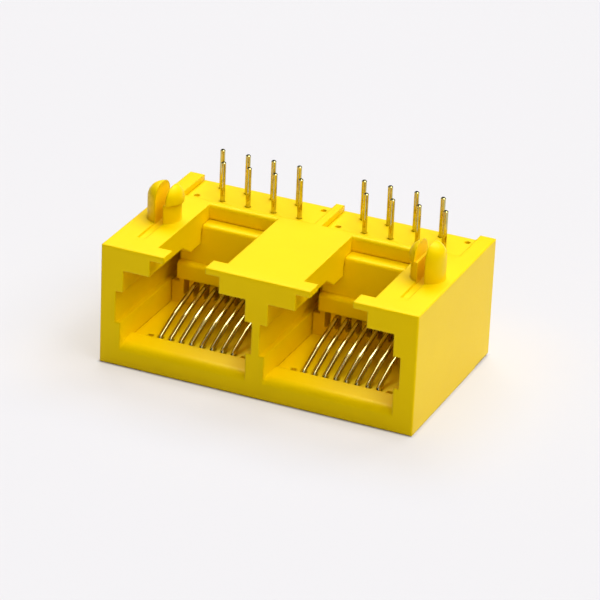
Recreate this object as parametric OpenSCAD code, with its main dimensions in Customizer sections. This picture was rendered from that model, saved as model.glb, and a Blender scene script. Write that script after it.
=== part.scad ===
// Dual-port modular jack for round-wire contacts, lying on its flat cover with the board side up.
// X runs along the two ports, Y from the port face to the rear, Z up. All sizes are in millimetres.

/* [Plug openings] */
// Width of the opening that takes the plug body
plug_w = 11.8; // [11.6:0.05:12.4]
// Height of the opening from the sill to the latch shoulders
plug_h = 7.15; // [6.8:0.05:7.6]
// Depth of each rail groove, beyond the plug opening, that the carrier slides in
rail_groove = 0.7; // [0.5:0.05:0.9]
// Depth of each side relief beside the contacts
floor_relief = 0.2; // [0.1:0.05:0.4]
// Height of the rail groove's lower face above the sill
groove_low = 2; // [1.8:0.05:2.4]
// Height of the rail groove
groove_h = 3.05; // [2.4:0.05:3.2]
// Depth from the port face to the comb that holds the contact ends
comb_depth = 9.9; // [9.5:0.1:12]

/* [Housing walls] */
// Thickness of the wall between the two ports, measured in the rail grooves
partition_t = 0.77; // [0.6:0.01:2]
// Thickness of the outer side walls, measured in the rail grooves
side_wall_t = 1.485; // [1.2:0.005:3]
// Thickness of the cover wall under the contacts
cover_t = 1.1; // [0.9:0.05:1.6]
// Height of the sill at each port's mouth
sill_h = 2.2; // [2.15:0.05:3]
// Depth of that sill
sill_d = 2.65; // [2.4:0.05:3.5]
// Height of the latch shoulders above the plug opening
shoulder_h = 2.15; // [2.1:0.05:3.2]
// Radius of the outer edges
edge_r = 0.15; // [0.1:0.05:0.4]
// Radius of the sill's front edge
sill_r = 0.8; // [0.3:0.05:1]
// Height of the relief under the rear edge of the cover
relief_h = 0.2; // [0.1:0.05:0.5]
// Depth of that relief
relief_d = 3.3; // [1:0.1:5]

/* [Latch windows] */
// Width of the latch window between the shoulder blocks
latch_w = 6.7; // [6.4:0.05:7.4]
// Width of the latch neck between the two ears
neck_w = 4; // [3.6:0.05:4.6]
// Thickness of an ear
ear_t = 0.6; // [0.5:0.05:1]
// Depth of an ear
ear_d = 1.7; // [1:0.05:2.5]
// Thickness of the bridge that closes the window at the rear
bridge_t = 0.8; // [0.6:0.05:1.5]
// Height of that bridge
bridge_h = 1.38; // [1:0.02:1.6]
// Drop of the plug stops under the shoulder blocks
stop_h = 1.1; // [0.3:0.05:1.3]
// Width of a plug stop
stop_w = 1.4; // [0.8:0.05:2]
// Depth of a plug stop, its sloped front included
stop_d = 3.8; // [2:0.1:5]
// Depth of the slope on the front of a plug stop
stop_slope = 1.7; // [0.5:0.1:2]

/* [Board pegs] */
// Diameter of a peg
peg_d = 3.1; // [2.8:0.05:3.3]
// Height of a peg's plain half over the board face
peg_h = 3.4; // [3.1:0.05:4.5]
// Distance that the barbed half stops below the plain one
barb_drop = 0.05; // [0:0.05:0.3]
// Distance from the outer wall's face to a peg's axis
peg_inset = 2.37; // [2:0.01:2.6]
// Distance from the port face to the pegs' axes
peg_y = 7.75; // [6:0.05:9]
// Width of the slot that splits a peg
peg_slot = 0.75; // [0.5:0.05:1]
// Distance from a peg's axis to its slot's middle, towards the middle of the jack
slot_shift = 0.14; // [0:0.01:0.2]
// Height of the barb's lip over the board face
barb_z = 1.75; // [1.2:0.05:2]
// Reach of the barb beyond the peg's side
barb_out = 0.2; // [0.05:0.01:0.25]
// Distance that the barbed half steps back from the slot over its lip
barb_step = 0.28; // [0.1:0.01:0.35]
// Radius of the peg's rounded tip
peg_tip_r = 1.3; // [0.5:0.05:1.35]
// Length of the shallow track ahead of a peg
track_l = 3.4; // [1:0.1:4]
// Depth of that track
track_h = 0.2; // [0.1:0.05:0.4]

/* [Carriers] */
// Gap between a carrier and the housing
seat_gap = 0.05; // [0.03:0.01:0.1]
// Width of the comb block
comb_w = 10.7; // [10.4:0.1:11.2]
// Distance that the comb block stands ahead of the carrier's face
comb_out = 0.7; // [0.6:0.05:1.2]
// Distance that the slotted part of the comb lies behind the block's front
comb_step = 0.5; // [0.2:0.05:0.55]
// Height of the comb block's top over the sill
comb_top = 4.1; // [3.6:0.05:4.6]
// Depth of the nose under the bridge
nose_d = 1.5; // [1.2:0.05:2]
// Drop of the pin plate below the board face
standoff = 0.55; // [0.3:0.05:0.8]
// Radius of the rounded edges on the nose, the comb and the bridge
soft_r = 0.35; // [0.1:0.05:0.5]
// Distance from the pin plate's front edge to the first pin row
pin_margin = 1.57; // [1:0.01:2]
// Distance from the second pin row to the rear face
rear_margin = 0.94; // [0.8:0.01:2]

/* [Contacts] */
// Diameter of the contact wire
wire_d = 0.46; // [0.4:0.01:0.5]
// Gap around the wire in its slots and holes
wire_gap = 0.04; // [0.03:0.005:0.06]
// Pitch of the contacts in the ports
contact_pitch = 1.02; // [0.98:0.01:1.06]
// Pitch of the solder pins along a port, the two rows taken together
pin_pitch = 1.27; // [1.2:0.01:1.3]
// Distance between the two pin rows
row_pitch = 2.54; // [2:0.01:3]
// Reach of the solder pins over the board face
pin_reach = 3.28; // [2.5:0.01:4]
// Radius of the wire's fold at the sill, on its centre line
fold_r = 0.45; // [0.42:0.01:0.5]
// Radius of the wire's bend under the solder pin, on its centre line
bend_r = 0.6; // [0.4:0.05:0.7]
// Slope of a contact behind its fold
rise_front = 20.5; // [18:0.5:24]
// Slope of a contact towards the comb
rise_rear = 14; // [10:0.5:16]
// Length of the steeper stretch
front_len = 2.6; // [2:0.1:3.4]
// Radius of the easy bend between the two slopes
crown_r = 4; // [2:0.5:8]
// Radius of the wire's two bends where it shifts from the contact pitch to the pin pitch
jog_r = 0.8; // [0.4:0.05:0.9]
// Length of a contact's free end inside the comb
tail_in = 0.45; // [0.2:0.05:0.6]

/* [Hidden] */
$fn = 48;
eps = 0.01;
// A bend is a hair fuller than a straight wire, and the straight wire laps into it
bend_swell = 0.003;
wire_lap = 0.02;
contact_count = 8;
middle = (contact_count + 1) / 2;
sides = ["left", "right"];

plastic = [1, 0.86, 0.05];
carrier_plastic = [0.97, 0.8, 0.04];
gold_plate = [0.83, 0.68, 0.33];

// Widths across one port, and the part's width
groove_w = plug_w + 2 * rail_groove;
relief_w = plug_w + 2 * floor_relief;
port_pitch = groove_w + partition_t;
body_w = port_pitch + groove_w + 2 * side_wall_t;

// Heights
groove_z = sill_h + groove_low;
groove_top = groove_z + groove_h;
shoulder_z = sill_h + plug_h;
body_h = shoulder_z + shoulder_h;
bridge_z = body_h - bridge_h;
plate_z = body_h - standoff;

// Depths from the port face
face_y = comb_depth + comb_out;
window_y = face_y + nose_d;
bridge_y = window_y + bridge_t;
plate_y = bridge_y + seat_gap;
row_y = plate_y + pin_margin;
body_d = row_y + row_pitch + rear_margin;
stop_end_y = face_y - seat_gap;
comb_y = comb_depth + comb_step;

// The wire's run under the tongue, and its fold round the tongue's tip
wire_r = wire_d / 2;
run_z = cover_t + wire_r + 1.5 * wire_gap;
tip_r = fold_r - wire_r - wire_gap;
fold_z = run_z + fold_r;
fold_y = sill_d + seat_gap + fold_r + wire_r;
slot_w = wire_d + 2 * wire_gap;
tongue_top = fold_z + tip_r;
tongue_under = run_z + wire_r + wire_gap;
tooth_low = cover_t + seat_gap;
bend_top = run_z + bend_r;
fold_turn = 180 - rise_front;
jog_start = face_y + seat_gap;
jog_end = row_y - bend_r - seat_gap;
step_y = jog_end - bend_r;

// Corner points of a contact's free length, as depth and height
fold_end = [fold_y - fold_r * sin(fold_turn), fold_z - fold_r * cos(fold_turn)];
crown = fold_end + front_len * [cos(rise_front), sin(rise_front)];
crown_axis = crown + crown_r * [sin(rise_front), -cos(rise_front)];
crown_end = crown_axis + crown_r * [-sin(rise_rear), cos(rise_rear)];
tail_len = (comb_y + tail_in - crown_end.x) / cos(rise_rear);
tail_z = crown_end.y + tail_len * sin(rise_rear);
comb_slot_top = tail_z + wire_r + 2 * wire_gap;
comb_slot_low = crown.y - wire_r;
comb_slot_end = comb_y + tail_in + comb_out;
lintel_z = comb_slot_top - tail_in * tan(rise_rear);

pin_top = body_h + pin_reach;
pin_point = wire_r / 3;
peg_r = peg_d / 2;
peg_root = 2 * track_h;
peg_x = body_w / 2 - peg_inset;

function side_sign(side) = side == "left" ? -1 : 1;
function port_x(side) = side_sign(side) * port_pitch / 2;
function contact_x(i) = (i - middle) * contact_pitch;
function pin_x(i) = (i - middle) * pin_pitch;
function pin_y(i) = i % 2 == 0 ? row_y : row_y + row_pitch;

// Moves a shape measured from the port face to the part's own origin
module seated() {
    translate([0, -body_d / 2, 0]) children();
}

// Moves a shape to one port's middle
module at_port(side) {
    translate([port_x(side), 0, 0]) children();
}

// Extrudes an outline of depth and height along X, about the middle
module along_x(length) {
    translate([-length / 2, 0, 0]) rotate([90, 0, 90]) linear_extrude(length) children();
}

// Extrudes an outline of width and height from one depth to another
module along_y(from, to) {
    translate([0, to, 0]) rotate([90, 0, 0]) linear_extrude(to - from) children();
}

// A box of width w about the middle, from one depth and height to another
module block(w, y0, y1, z0, z1) {
    translate([-w / 2, y0, z0]) cube([w, y1 - y0, z1 - z0]);
}

// A rectangle with four round corners, its lower edge at zero
module round_rect(w, h, r) {
    translate([-w / 2 + r, 0]) square([w - 2 * r, h]);
    translate([-w / 2, r]) square([w, h - 2 * r]);
    for (x = [-w / 2 + r, w / 2 - r], y = [r, h - r]) translate([x, y]) circle(r);
}

// Takes the corner off an edge along X that faces the ports and the board
module round_front_edge(length, y, z, r) {
    along_x(length) difference() {
        translate([y - eps, z - r]) square([r + eps, r + eps]);
        translate([y + r, z - r]) circle(r);
    }
}

// The housing's outer form with its edges rounded all round
module outer_form() {
    intersection() {
        along_y(0, body_d) round_rect(body_w, body_h, edge_r);
        linear_extrude(body_h) round_rect(body_w, body_d, edge_r);
        along_x(body_w) translate([body_d / 2, 0]) round_rect(body_d, body_h, edge_r);
    }
}

// One port's stepped opening, from the mouth to the rear
module plug_opening() {
    block(plug_w, -eps, bridge_y, groove_top - eps, shoulder_z);
    block(groove_w, -eps, body_d + eps, groove_z, groove_top);
    block(relief_w, -eps, sill_d, sill_h, groove_z + eps);
    block(relief_w, sill_d - eps, body_d + eps, cover_t, groove_z + eps);
    block(plug_w, bridge_y - eps, body_d + eps, groove_top - eps, shoulder_z + eps);
    block(groove_w, bridge_y, body_d + eps, shoulder_z, body_h + eps);
    round_front_edge(relief_w, 0, sill_h, sill_r);
}

// One latch window, with the two ears left over its mouth and the bridge over its rear
module latch_window() {
    block(latch_w, -eps, bridge_y + eps, shoulder_z - eps, bridge_z);
    block(latch_w, -eps, window_y, bridge_z - eps, body_h - ear_t);
    block(latch_w, ear_d, window_y, body_h - ear_t - eps, body_h + eps);
    block(neck_w, -eps, ear_d + eps, body_h - ear_t - eps, body_h + eps);
    round_bridge_edge();
}

// Rounds the bridge's upper edge over the window
module round_bridge_edge() {
    round_front_edge(latch_w, window_y, body_h, soft_r);
}

// The pair of sloped plug stops under one port's shoulder blocks
module plug_stops() {
    for (s = [-1, 1]) translate([s * (latch_w + stop_w) / 2, 0, 0])
        along_x(stop_w) polygon([
            [stop_end_y - stop_d, shoulder_z + eps],
            [stop_end_y - stop_d, shoulder_z],
            [stop_end_y - stop_d + stop_slope, shoulder_z - stop_h],
            [stop_end_y, shoulder_z - stop_h],
            [stop_end_y, shoulder_z + eps]
        ]);
}

// The outline of a peg, from its axis outwards, with a rounded tip
module peg_outline(r, low, high) {
    intersection() {
        translate([0, low]) square([r, high - low]);
        union() {
            translate([0, low - eps]) square([r, high - low - peg_tip_r + eps]);
            translate([0, high - peg_tip_r - eps]) square([r - peg_tip_r, peg_tip_r + eps]);
            translate([r - peg_tip_r, high - peg_tip_r]) circle(peg_tip_r);
        }
    }
}

// The space beyond a peg's slot: from a distance x off the axis, up to a height
module beyond_slot(x, high) {
    translate([x, -peg_d, -peg_root - eps]) cube([peg_d, 2 * peg_d, high + peg_root + eps]);
}

// The plain half of a split peg
module plain_half() {
    intersection() {
        rotate_extrude() peg_outline(peg_r, -peg_root, peg_h);
        beyond_slot(peg_slot / 2 - slot_shift, peg_h + eps);
    }
}

// The barbed half of a split peg: a straight root, then a thinner tip with a lip round it
module barbed_half() {
    face = peg_slot / 2 + slot_shift;
    high = peg_h - barb_drop;
    intersection() {
        rotate_extrude() union() {
            peg_outline(peg_r, -peg_root, high);
            peg_outline(peg_r + barb_out, barb_z, high);
        }
        union() {
            beyond_slot(face, barb_z);
            beyond_slot(face + barb_step, high + eps);
        }
    }
}

// One split peg: its outer half is plain and taller, and its inner half carries the barb
module peg(side) {
    turn = side_sign(side) < 0 ? 180 : 0;
    translate([side_sign(side) * peg_x, peg_y, body_h]) {
        rotate(turn) plain_half();
        rotate(turn + 180) barbed_half();
    }
}

// The shallow track in the board face ahead of a peg's slot
module peg_track(side) {
    x = side_sign(side) * (peg_x - slot_shift);
    translate([x - peg_slot / 2, peg_y - peg_r - track_l, body_h - track_h])
        cube([peg_slot, track_l + peg_d, 2 * track_h]);
}

// The moulded housing with both ports and both pegs
module housing() {
    color(plastic) seated() {
        difference() {
            outer_form();
            for (s = sides) {
                at_port(s) plug_opening();
                at_port(s) latch_window();
                peg_track(s);
            }
            block(body_w + 2 * eps, body_d - relief_d, body_d + eps, -eps, relief_h);
        }
        for (s = sides) {
            at_port(s) plug_stops();
            peg(s);
        }
    }
}

// The carrier's full outline, which slides into the housing from the rear
module carrier_outline() {
    g = seat_gap;
    translate([-relief_w / 2 + g, bend_top + g]) square([relief_w - 2 * g, groove_top - bend_top - 2 * g]);
    translate([-groove_w / 2 + g, groove_z + g]) square([groove_w - 2 * g, groove_h - 2 * g]);
    translate([-plug_w / 2 + g, groove_z + g]) square([plug_w - 2 * g, shoulder_z - groove_z]);
    translate([-groove_w / 2 + g, shoulder_z + g]) square([groove_w - 2 * g, plate_z - shoulder_z - g]);
}

// Cuts one wire slot: open round the tongue's tip, then a groove under the tongue
module tongue_slot() {
    block(slot_w, sill_d, fold_y, 0, body_h / 2);
    block(slot_w, fold_y - eps, face_y + 3 * eps, 0, tongue_under);
}

// One contact carrier: pin plate, nose, comb block and the tongue along the cover
module carrier_body() {
    g = seat_gap;
    rear = body_d - g;
    low_w = relief_w - 2 * g;
    union() {
        along_y(plate_y, rear) carrier_outline();
        block(comb_w, face_y, plate_y + eps, tongue_under, shoulder_z - g);
        block(latch_w - 2 * g, face_y, plate_y + eps, shoulder_z - 2 * g, bridge_z - g);
        block(comb_w, comb_depth, face_y + eps, lintel_z, sill_h + comb_top);
        block(comb_w, comb_y, face_y + eps, tongue_under, lintel_z + eps);
        block(low_w, comb_y, plate_y + eps, tongue_under, groove_z - g);
        block(low_w, sill_d + g, face_y + eps, tooth_low, tongue_top);
        block(low_w, plate_y, step_y, tongue_under, bend_top + 2 * g);
        block(low_w, row_y + row_pitch + wire_d, rear, tooth_low, bend_top + 2 * g);
    }
}

// One contact carrier with its pin holes, comb slots and wire slots
module carrier(side) {
    color(carrier_plastic) seated() at_port(side) difference() {
        carrier_body();
        round_front_edge(latch_w, face_y, bridge_z - seat_gap, soft_r);
        round_front_edge(comb_w, comb_depth, sill_h + comb_top, soft_r);
        for (i = [0:contact_count + 1]) {
            translate([pin_x(i), pin_y(i), 0]) cylinder(h = body_h, r = wire_r + wire_gap);
            translate([contact_x(i), 0, 0]) {
                block(slot_w, comb_y - eps, comb_slot_end, comb_slot_low, comb_slot_top);
                tongue_slot();
            }
        }
    }
}

// A round wire bent about an axis, in its own plane
module wire_bend(r, turn) {
    rotate_extrude(angle = turn) translate([r, 0]) circle(wire_r + bend_swell);
}

// A straight wire along Z that laps a little into the bends at its ends
module wire_rod(length) {
    translate([0, 0, -wire_lap]) cylinder(h = length + 2 * wire_lap, r = wire_r);
}

// A straight wire along Y, under the carrier
module wire_run(x, from, to) {
    translate([x, from, run_z]) rotate([-90, 0, 0]) wire_rod(to - from);
}

// The stretch where a wire shifts sideways from the contact's place to the pin's
module wire_jog(i) {
    shift = abs(pin_x(i) - contact_x(i));
    length = jog_end - jog_start;
    slant = sqrt(length * length + shift * shift - 4 * jog_r * shift);
    turn = atan2(shift - 2 * jog_r, length) + atan2(2 * jog_r, slant);
    if (turn > eps)
        translate([contact_x(i), 0, run_z]) mirror([pin_x(i) < contact_x(i) ? 1 : 0, 0, 0]) {
            translate([jog_r, jog_start, 0]) rotate(180 - turn) wire_bend(jog_r, turn);
            translate([jog_r * (1 - cos(turn)), jog_start + jog_r * sin(turn), 0])
                rotate([-90, 0, -turn]) wire_rod(slant);
            translate([shift - jog_r, jog_end, 0]) rotate(-turn) wire_bend(jog_r, turn);
        }
    else
        wire_run(contact_x(i), jog_start, jog_end);
}

// The upright solder pin, with a small chamfer at its tip
module solder_pin() {
    rotate_extrude() polygon([
        [0, bend_top - wire_lap],
        [wire_r, bend_top - wire_lap],
        [wire_r, pin_top - pin_point],
        [wire_r - pin_point, pin_top],
        [0, pin_top]
    ]);
}

// The sprung end of a contact: the fold, the steep stretch, the crown and the free tail
module contact_spring() {
    translate([0, fold_y, fold_z]) rotate([180, 90, 0]) wire_bend(fold_r, fold_turn);
    translate([0, fold_end.x, fold_end.y]) rotate([rise_front - 90, 0, 0]) wire_rod(front_len);
    translate([0, crown_axis.x, crown_axis.y]) rotate([rise_front, 0, 0]) rotate([0, -90, 0])
        wire_bend(crown_r, rise_front - rise_rear);
    translate([0, crown_end.x, crown_end.y]) rotate([rise_rear - 90, 0, 0]) wire_rod(tail_len);
}

// One contact: solder pin, bend, run under the carrier, fold and sprung free length
module contact(side, i) {
    color(gold_plate) seated() at_port(side) {
        translate([pin_x(i), pin_y(i), 0]) solder_pin();
        translate([pin_x(i), pin_y(i) - bend_r, bend_top]) rotate([-90, 0, 90]) wire_bend(bend_r, 90);
        wire_run(pin_x(i), jog_end, pin_y(i) - bend_r);
        wire_jog(i);
        wire_run(contact_x(i), fold_y, jog_start);
        translate([contact_x(i), 0, 0]) contact_spring();
    }
}

housing();
for (s = sides) carrier(s);
for (s = sides, i = [1:contact_count])
    contact(s, i);
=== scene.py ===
"""Looks of a yellow dual-port modular jack that lies on its cover, board side up."""

import math

import bmesh
import bpy
from mathutils import Matrix, Vector


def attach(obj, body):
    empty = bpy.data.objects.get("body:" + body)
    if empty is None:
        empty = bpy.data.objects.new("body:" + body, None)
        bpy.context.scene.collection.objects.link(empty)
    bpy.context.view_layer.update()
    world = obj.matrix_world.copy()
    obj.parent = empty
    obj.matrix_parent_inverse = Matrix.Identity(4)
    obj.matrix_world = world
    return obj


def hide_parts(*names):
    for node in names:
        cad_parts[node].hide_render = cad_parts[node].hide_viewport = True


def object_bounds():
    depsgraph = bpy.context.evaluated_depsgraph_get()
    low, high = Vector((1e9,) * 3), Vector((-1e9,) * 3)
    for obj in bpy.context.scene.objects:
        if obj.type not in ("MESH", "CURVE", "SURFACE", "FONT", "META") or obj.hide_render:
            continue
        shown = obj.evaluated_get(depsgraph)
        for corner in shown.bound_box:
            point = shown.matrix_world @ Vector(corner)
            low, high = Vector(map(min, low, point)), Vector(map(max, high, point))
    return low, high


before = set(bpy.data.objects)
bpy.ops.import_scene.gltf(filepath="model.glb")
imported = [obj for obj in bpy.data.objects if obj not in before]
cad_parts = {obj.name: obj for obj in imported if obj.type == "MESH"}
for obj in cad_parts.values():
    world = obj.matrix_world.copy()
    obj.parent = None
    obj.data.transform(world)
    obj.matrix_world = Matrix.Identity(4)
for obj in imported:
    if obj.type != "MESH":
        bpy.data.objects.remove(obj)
cad_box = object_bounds()
scene = bpy.context.scene
MM = 0.001
SIDES = {"left": -1, "right": 1}
CONTACTS = 8

# Sizes of the wire contacts in millimetres, depth measured from the port face
BODY_D = 18.0
PORT_PITCH = 13.97
CONTACT_PITCH = 1.02
PIN_PITCH = 1.27
WIRE_R = 0.23
PIN_TOP = 14.78
TIP_LEN = WIRE_R / 3
TIP_THICK = 2 / 3
SHANK_LEN = 2.0
ROW_Y = 14.52
ROW_PITCH = 2.54
RUN_Z = 1.39
BEND_R = 0.6
JOG_R = 0.8
JOG_START = 10.65
JOG_END = 13.87
FOLD_R = 0.45
FOLD_Y = 3.38
RISE_FRONT = math.radians(20.5)
RISE_REAR = math.radians(14)
FRONT_LEN = 2.6
CROWN_R = 4.0
TAIL_END = 10.85

# How finely the wires are drawn
WIRE_SIDES = 20
BEND_STEPS = 8
JOG_STEPS = 6
FOLD_STEPS = 18
CROWN_STEPS = 6

# Corners of a moulding that are closer than this, in millimetres, are one corner
MERGE = 0.0001

# Edges that turn by more than this stay sharp
MOULDING_SHARP = math.radians(24)
WIRE_SHARP = math.radians(40)

# The table in millimetres: its half width, how far it lies below the part, how far the painted warm bounce
# light around the part reaches and how wide the dark line under the part's edge is
TABLE_HALF = 1500.0
TABLE_DROP = 0.02
PAINTED_BOUNCE_REACH = 12.0
CONTACT_LINE = 0.3

# How much of the table's shown tone is its pale colour, with painted warm bounce light near the part, and not
# the light on it
PALE_SHARE = 0.5

# How softly a soft box fades at its edge, as the sine of an angle
BOX_FADE = 0.06

# The camera, fitted to the part's edges: picture and focal length in pixels, the rest in millimetres
PICTURE = 600
FOCAL = 3642.9
SENSOR = 36
EYE = Vector((114.06, -267.85, 146.95))
AIM = Vector((0.413, -0.426, 6.0))
ROLL = math.radians(2.545)


class Value:
    """A number on a socket; an expression on values adds its Math nodes."""

    def __init__(self, graph, socket):
        self.graph = graph
        self.socket = socket

    def math(self, operation, a, b=0.0):
        return self.graph.add("ShaderNodeMath", {0: a, 1: b}, operation=operation)

    def __add__(self, other):
        return self.math("ADD", self, other)

    def __sub__(self, other):
        return self.math("SUBTRACT", self, other)

    def __rsub__(self, other):
        return self.math("SUBTRACT", other, self)

    def __mul__(self, other):
        return self.math("MULTIPLY", self, other)

    def __pow__(self, other):
        return self.math("POWER", self, other)

    def __abs__(self):
        return self.math("ABSOLUTE", self)

    __radd__ = __add__
    __rmul__ = __mul__


class Graph:
    """Adds nodes to a node tree."""

    def __init__(self, tree):
        self.tree = tree

    def add(self, kind, inputs=None, out=0, **settings):
        """Adds a node, sets it up, fills or links its sockets, and returns one of its outputs."""
        node = self.tree.nodes.new(kind)
        for name, setting in settings.items():
            setattr(node, name, setting)
        for name, given in (inputs or {}).items():
            if isinstance(given, Value):
                self.tree.links.new(given.socket, node.inputs[name])
            else:
                node.inputs[name].default_value = given
        return Value(self, node.outputs[out]) if node.outputs else None

    def mix(self, factor, a, b):
        """A blend of two colours; a Mix node's sockets for colours are 6, 7 and output 2."""
        return self.add("ShaderNodeMix", {0: factor, 6: (*a, 1), 7: (*b, 1)}, 2, data_type="RGBA")

    def dot(self, vector, axis):
        """How far a vector reaches along an axis."""
        return self.add("ShaderNodeVectorMath", {0: vector, 1: axis}, "Value", operation="DOT_PRODUCT")

    def ease(self, value, nought, one):
        """Nought and one at the two given values and past them, and smooth between them."""
        return self.add(
            "ShaderNodeMapRange",
            {"Value": value, "From Min": nought, "From Max": one, "To Min": 0.0, "To Max": 1.0},
            interpolation_type="SMOOTHSTEP",
        )


def new_material(name):
    """An empty node material, with its graph."""
    material = bpy.data.materials.new(name)
    material.use_nodes = True
    material.node_tree.nodes.clear()
    return material, Graph(material.node_tree)


def finish_material(graph, shader):
    """Links a shader to the material's output."""
    graph.add("ShaderNodeOutputMaterial", {"Surface": shader})


def surface_mm(graph, stretch=(1, 1, 1)):
    """The place on a piece in millimetres, stretched along the axes."""
    place = graph.add("ShaderNodeTexCoord", out="Object")
    scale = [s / MM for s in stretch]
    return graph.add("ShaderNodeMapping", {"Vector": place, "Scale": scale}, vector_type="POINT")


def noise(graph, place, scale, detail=2.0, roughness=0.5):
    """Cloudy noise between nought and one."""
    inputs = {"Vector": place, "Scale": scale, "Detail": detail, "Roughness": roughness}
    return graph.add("ShaderNodeTexNoise", inputs)


def moulded_plastic(name, colour, deep):
    """Satin moulded plastic: faint flow clouds, a fine grain in its sheen, a soft skin and softened edges."""
    material, graph = new_material(name)
    place = surface_mm(graph)
    clouds = noise(graph, place, scale=0.22, detail=3.0)
    grain = noise(graph, place, scale=7.0, detail=4.0, roughness=0.6)
    skin = noise(graph, place, scale=2.6, detail=3.0, roughness=0.55)
    tone = graph.mix(graph.ease(clouds * 0.8 + grain * 0.2, 0.3, 0.7), colour, deep)
    edges = graph.add("ShaderNodeBevel", {"Radius": 0.2 * MM}, samples=6)
    bump = graph.add(
        "ShaderNodeBump",
        {"Strength": 0.12, "Distance": 0.02 * MM, "Height": skin * 0.7 + grain * 0.3, "Normal": edges},
    )
    shader = graph.add(
        "ShaderNodeBsdfPrincipled",
        {
            "Base Color": tone,
            "Roughness": 0.36 + 0.16 * grain,
            "IOR": 1.5,
            "Specular Tint": (1, 0.85, 0, 1),
            "Normal": bump,
        },
    )
    finish_material(graph, shader)
    return material


def gold_wire(name):
    """Bright gold plating on drawn wire: fine streaks along the wire and small cloudy dull spots."""
    material, graph = new_material(name)
    streaks = noise(graph, surface_mm(graph, (9, 0.7, 0.7)), scale=2.0, detail=3.0, roughness=0.6)
    spots = noise(graph, surface_mm(graph), scale=1.7, detail=3.0, roughness=0.55)
    tone = graph.mix(graph.ease(spots, 0.35, 0.7), (0.6, 0.53, 0.23), (0.5, 0.43, 0.155))
    bump = graph.add("ShaderNodeBump", {"Strength": 0.05, "Distance": 0.01 * MM, "Height": streaks})
    shader = graph.add(
        "ShaderNodeBsdfPrincipled",
        {"Base Color": tone, "Metallic": 1.0, "Roughness": 0.06 + 0.1 * streaks, "Normal": bump},
    )
    finish_material(graph, shader)
    return material


def outline_distance(graph):
    """How far a place on the table lies outside the part's outline, in millimetres."""
    place = surface_mm(graph)
    squares = 0.0
    for axis, half in zip(((1, 0, 0), (0, 1, 0)), cad_box[1]):
        past = abs(graph.dot(place, axis)) - half / MM
        outside = graph.add("ShaderNodeMath", {0: past, 1: 0.0}, operation="MAXIMUM")
        squares = squares + outside**2
    return squares**0.5


def white_table(name):
    """A matt white table top, shown a little paler than it lights the part, with warm bounce light from the
    part painted around its outline.
    """
    material, graph = new_material(name)
    clouds = noise(graph, surface_mm(graph), scale=0.01)
    tone = graph.mix(graph.ease(clouds, 0.3, 0.7), (0.665, 0.655, 0.672), (0.655, 0.645, 0.662))
    matt = graph.add("ShaderNodeBsdfDiffuse", {"Color": tone})
    away = outline_distance(graph)
    # Painted warm bounce light: the table's pale colour turns warmer towards the part's outline, as if lit by
    # light bounced off the yellow part
    painted_bounce_tint = graph.mix(graph.ease(away, PAINTED_BOUNCE_REACH, 0), (0.94, 0.925, 0.94), (1.05, 0.97, 0.88))
    pale_with_painted_bounce = graph.add("ShaderNodeEmission", {"Color": painted_bounce_tint})
    by_camera = graph.add("ShaderNodeLightPath", out="Is Camera Ray")
    in_metal = graph.add("ShaderNodeLightPath", out="Is Glossy Ray")
    share = (by_camera + in_metal) * PALE_SHARE * graph.ease(away, 0, CONTACT_LINE)
    finish_material(graph, graph.add("ShaderNodeMixShader", {0: share, 1: matt, 2: pale_with_painted_bounce}))
    return material


def soft_copy(node, name, material):
    """A merged copy of a moulded node, with smooth curves and sharp edges."""
    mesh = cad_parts[node].data.copy()
    mesh.name = name
    shape = bmesh.new()
    shape.from_mesh(mesh)
    bmesh.ops.remove_doubles(shape, verts=shape.verts, dist=MM * MERGE)
    shape.to_mesh(mesh)
    shape.free()
    for layer in list(mesh.uv_layers):
        mesh.uv_layers.remove(layer)
    if mesh.has_custom_normals:
        mesh.attributes.remove(mesh.attributes["custom_normal"])
    mesh.shade_smooth()
    mesh.set_sharp_from_angle(angle=MOULDING_SHARP)
    mesh.materials.clear()
    mesh.materials.append(material)
    piece = bpy.data.objects.new(name, mesh)
    scene.collection.objects.link(piece)
    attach(piece, "root")
    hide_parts(node)


def spread(start, end, steps):
    """Evenly spaced numbers from start to end."""
    return [start + (end - start) * k / steps for k in range(steps + 1)]


def jog_points(shift):
    """Points of sideways shift and depth where a wire leaves the pin's place for the contact's."""
    length = JOG_END - JOG_START
    slant = math.sqrt(length * length + shift * shift - 4 * JOG_R * shift)
    turn = math.atan2(shift - 2 * JOG_R, length) + math.atan2(2 * JOG_R, slant)
    for a in spread(0, turn, JOG_STEPS):
        yield JOG_R * (1 - math.cos(a)), JOG_END - JOG_R * math.sin(a)
    for a in spread(turn, 0, JOG_STEPS):
        yield shift - JOG_R * (1 - math.cos(a)), JOG_START + JOG_R * math.sin(a)


def spring_points():
    """Points of depth and height from the run to the free end: fold, steep stretch, crown and tail."""
    fold_z = RUN_Z + FOLD_R
    points = [
        Vector((FOLD_Y - FOLD_R * math.sin(a), fold_z - FOLD_R * math.cos(a)))
        for a in spread(0, math.pi - RISE_FRONT, FOLD_STEPS)
    ]
    steep = Vector((math.cos(RISE_FRONT), math.sin(RISE_FRONT)))
    crown = points[-1] + FRONT_LEN * steep
    axis = crown + CROWN_R * Vector((steep.y, -steep.x))
    points += [
        axis + CROWN_R * Vector((-math.sin(a), math.cos(a)))
        for a in spread(RISE_FRONT, RISE_REAR, CROWN_STEPS)
    ]
    tail = TAIL_END - points[-1].x
    points.append(points[-1] + Vector((tail, tail * math.tan(RISE_REAR))))
    return points


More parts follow.
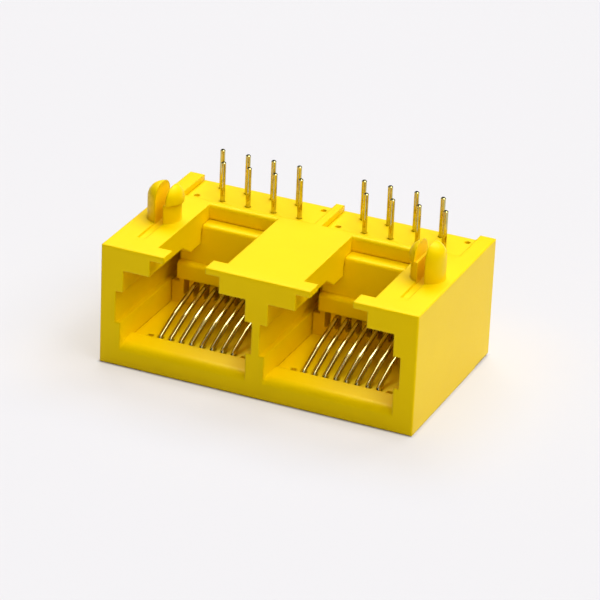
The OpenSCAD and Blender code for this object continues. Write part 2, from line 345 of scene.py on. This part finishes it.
def contact_path(i):
    """The centre line of contact i in its port, from the pin's tip to the free end, with its thickness."""
    from_middle = i - (CONTACTS + 1) / 2
    pin_x = from_middle * PIN_PITCH
    contact_x = from_middle * CONTACT_PITCH
    pin_y = ROW_Y + (i % 2) * ROW_PITCH
    inward = math.copysign(1, contact_x - pin_x)
    pin = [(PIN_TOP, TIP_THICK), (PIN_TOP - TIP_LEN, 1), (PIN_TOP - SHANK_LEN, 1)]
    points = [(pin_x, pin_y, z, thick) for z, thick in pin]
    points += [
        (pin_x, pin_y - BEND_R * (1 - math.cos(a)), RUN_Z + BEND_R * (1 - math.sin(a)), 1)
        for a in spread(0, math.pi / 2, BEND_STEPS)
    ]
    points += [(pin_x + inward * s, y, RUN_Z, 1) for s, y in jog_points(abs(contact_x - pin_x))]
    points += [(contact_x, y, z, 1) for y, z in spring_points()]
    return points


def sweep_tree():
    """A node tree that sweeps a round wire along a path."""
    tree = bpy.data.node_groups.new("wire_sweep", "GeometryNodeTree")
    face = tree.interface
    face.new_socket("Path", in_out="INPUT", socket_type="NodeSocketGeometry")
    face.new_socket("Radius", in_out="INPUT", socket_type="NodeSocketFloat")
    face.new_socket("Sides", in_out="INPUT", socket_type="NodeSocketInt")
    face.new_socket("Finish", in_out="INPUT", socket_type="NodeSocketMaterial")
    face.new_socket("Wire", in_out="OUTPUT", socket_type="NodeSocketGeometry")
    graph = Graph(tree)
    path, radius, sides, finish = (
        graph.add("NodeGroupInput", out=name) for name in ("Path", "Radius", "Sides", "Finish")
    )
    line = graph.add("GeometryNodeMeshToCurve", {"Mesh": path})
    ring = graph.add("GeometryNodeCurvePrimitiveCircle", {"Resolution": sides, "Radius": radius})
    thick = graph.add("GeometryNodeInputNamedAttribute", {"Name": "thick"}, data_type="FLOAT")
    skin = graph.add(
        "GeometryNodeCurveToMesh", {"Curve": line, "Profile Curve": ring, "Scale": thick, "Fill Caps": True}
    )
    smooth = graph.add("GeometryNodeSetShadeSmooth", {"Geometry": skin})
    real = graph.add("GeometryNodeRealizeInstances", {"Geometry": smooth})
    done = graph.add("GeometryNodeSetMaterial", {"Geometry": real, "Material": finish})
    graph.add("NodeGroupOutput", {"Wire": done})
    return tree


def wire_mesh(tree, name, points, material):
    """The mesh of a round wire that follows points in metres, each with its thickness."""
    path = bpy.data.meshes.new(name + "_path")
    path.from_pydata([p[:3] for p in points], [(k, k + 1) for k in range(len(points) - 1)], [])
    thick = path.attributes.new("thick", "FLOAT", "POINT")
    thick.data.foreach_set("value", [p[3] for p in points])
    guide = bpy.data.objects.new(name + "_path", path)
    scene.collection.objects.link(guide)
    modifier = guide.modifiers.new("sweep", "NODES")
    modifier.node_group = tree
    given = {"Radius": MM * WIRE_R, "Sides": WIRE_SIDES, "Finish": material}
    for item in tree.interface.items_tree:
        if item.in_out == "INPUT" and item.name in given:
            modifier[item.identifier] = given[item.name]
    mesh = bpy.data.meshes.new_from_object(guide.evaluated_get(bpy.context.evaluated_depsgraph_get()))
    bpy.data.objects.remove(guide)
    mesh.name = name
    shape = bmesh.new()
    shape.from_mesh(mesh)
    bmesh.ops.recalc_face_normals(shape, faces=shape.faces)
    shape.to_mesh(mesh)
    shape.free()
    mesh.set_sharp_from_angle(angle=WIRE_SHARP)
    return mesh


def contact(tree, side, i, material):
    """One bent wire contact, swept along its path."""
    node = f"contact_{side}_{i}"
    name = node + "_wire"
    port_x = SIDES[side] * PORT_PITCH / 2
    points = [
        (MM * (port_x + x), MM * (y - BODY_D / 2), MM * z, thick)
        for x, y, z, thick in contact_path(i)
    ]
    piece = bpy.data.objects.new(name, wire_mesh(tree, name, points, material))
    scene.collection.objects.link(piece)
    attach(piece, "root")
    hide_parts(node)


def table_top(material):
    """The white table that the jack lies on."""
    half = MM * TABLE_HALF
    level = -MM * TABLE_DROP
    corners = [(-half, -half, level), (half, -half, level), (half, half, level), (-half, half, level)]
    mesh = bpy.data.meshes.new("table_top")
    mesh.from_pydata(corners, [], [(0, 1, 2, 3)])
    mesh.materials.append(material)
    table = bpy.data.objects.new("table_top", mesh)
    scene.collection.objects.link(table)


def soft_box(graph, toward, strength, azimuth, elevation, wide, tall):
    """The light of a soft box that faces the part; its sizes are half angles in degrees."""
    turn, rise = math.radians(azimuth), math.radians(elevation)
    axis = (math.cos(rise) * math.cos(turn), math.cos(rise) * math.sin(turn), math.sin(rise))
    across = (-math.sin(turn), math.cos(turn), 0)
    upward = (-math.sin(rise) * math.cos(turn), -math.sin(rise) * math.sin(turn), math.cos(rise))
    light = strength * graph.ease(graph.dot(toward, axis), 0, BOX_FADE)
    for way, half in ((across, wide), (upward, tall)):
        reach = math.sin(math.radians(half))
        light = light * graph.ease(abs(graph.dot(toward, way)), reach + BOX_FADE, reach - BOX_FADE)
    return light


def studio_light():
    """Soft boxes behind the part and on its right, with weak light from the left and the front right."""
    world = bpy.data.worlds.new("studio")
    scene.world = world
    world.use_nodes = True
    world.node_tree.nodes.clear()
    graph = Graph(world.node_tree)
    toward = graph.add("ShaderNodeTexCoord", out="Generated")
    rear = soft_box(graph, toward, strength=6.3, azimuth=95, elevation=55.5, wide=28, tall=12.5)
    right = soft_box(graph, toward, strength=3.75, azimuth=0, elevation=54, wide=20, tall=16)
    high_right = soft_box(graph, toward, strength=1.7, azimuth=350, elevation=66, wide=20, tall=10)
    left = soft_box(graph, toward, strength=0.56, azimuth=180, elevation=60, wide=25, tall=25)
    front_right = soft_box(graph, toward, strength=0.8, azimuth=305, elevation=40, wide=25, tall=20)
    light = rear + right + high_right + left + front_right
    shader = graph.add("ShaderNodeBackground", {"Color": (1, 1, 1, 1), "Strength": light})
    graph.add("ShaderNodeOutputWorld", {"Surface": shader})


def camera():
    """The camera that took the picture."""
    data = bpy.data.cameras.new("camera")
    data.sensor_width = SENSOR
    data.lens = FOCAL / PICTURE * SENSOR
    data.clip_start = 0.01
    data.clip_end = 10
    ahead = (AIM - EYE).normalized()
    level = ahead.cross(Vector((0, 0, 1))).normalized()
    right = Matrix.Rotation(-ROLL, 3, ahead) @ level
    turn = Matrix((right, right.cross(ahead), -ahead)).transposed()
    eye = bpy.data.objects.new("camera", data)
    eye.matrix_world = Matrix.Translation(MM * EYE) @ turn.to_4x4()
    scene.collection.objects.link(eye)
    scene.camera = eye


yellow = moulded_plastic("yellow_housing", colour=(0.99, 0.68, 0.0), deep=(0.965, 0.655, 0.0))
deep_yellow = moulded_plastic("yellow_carrier", colour=(0.985, 0.67, 0.0), deep=(0.955, 0.645, 0.0))
gold = gold_wire("gold_wire")
soft_copy("housing", "housing_moulding", yellow)
sweep = sweep_tree()
for side in SIDES:
    soft_copy(f"carrier_{side}", f"carrier_{side}_moulding", deep_yellow)
    for i in range(1, CONTACTS + 1):
        contact(sweep, side, i, gold)
table_top(white_table("white_table"))
studio_light()
camera()
scene.view_settings.view_transform = "Standard"
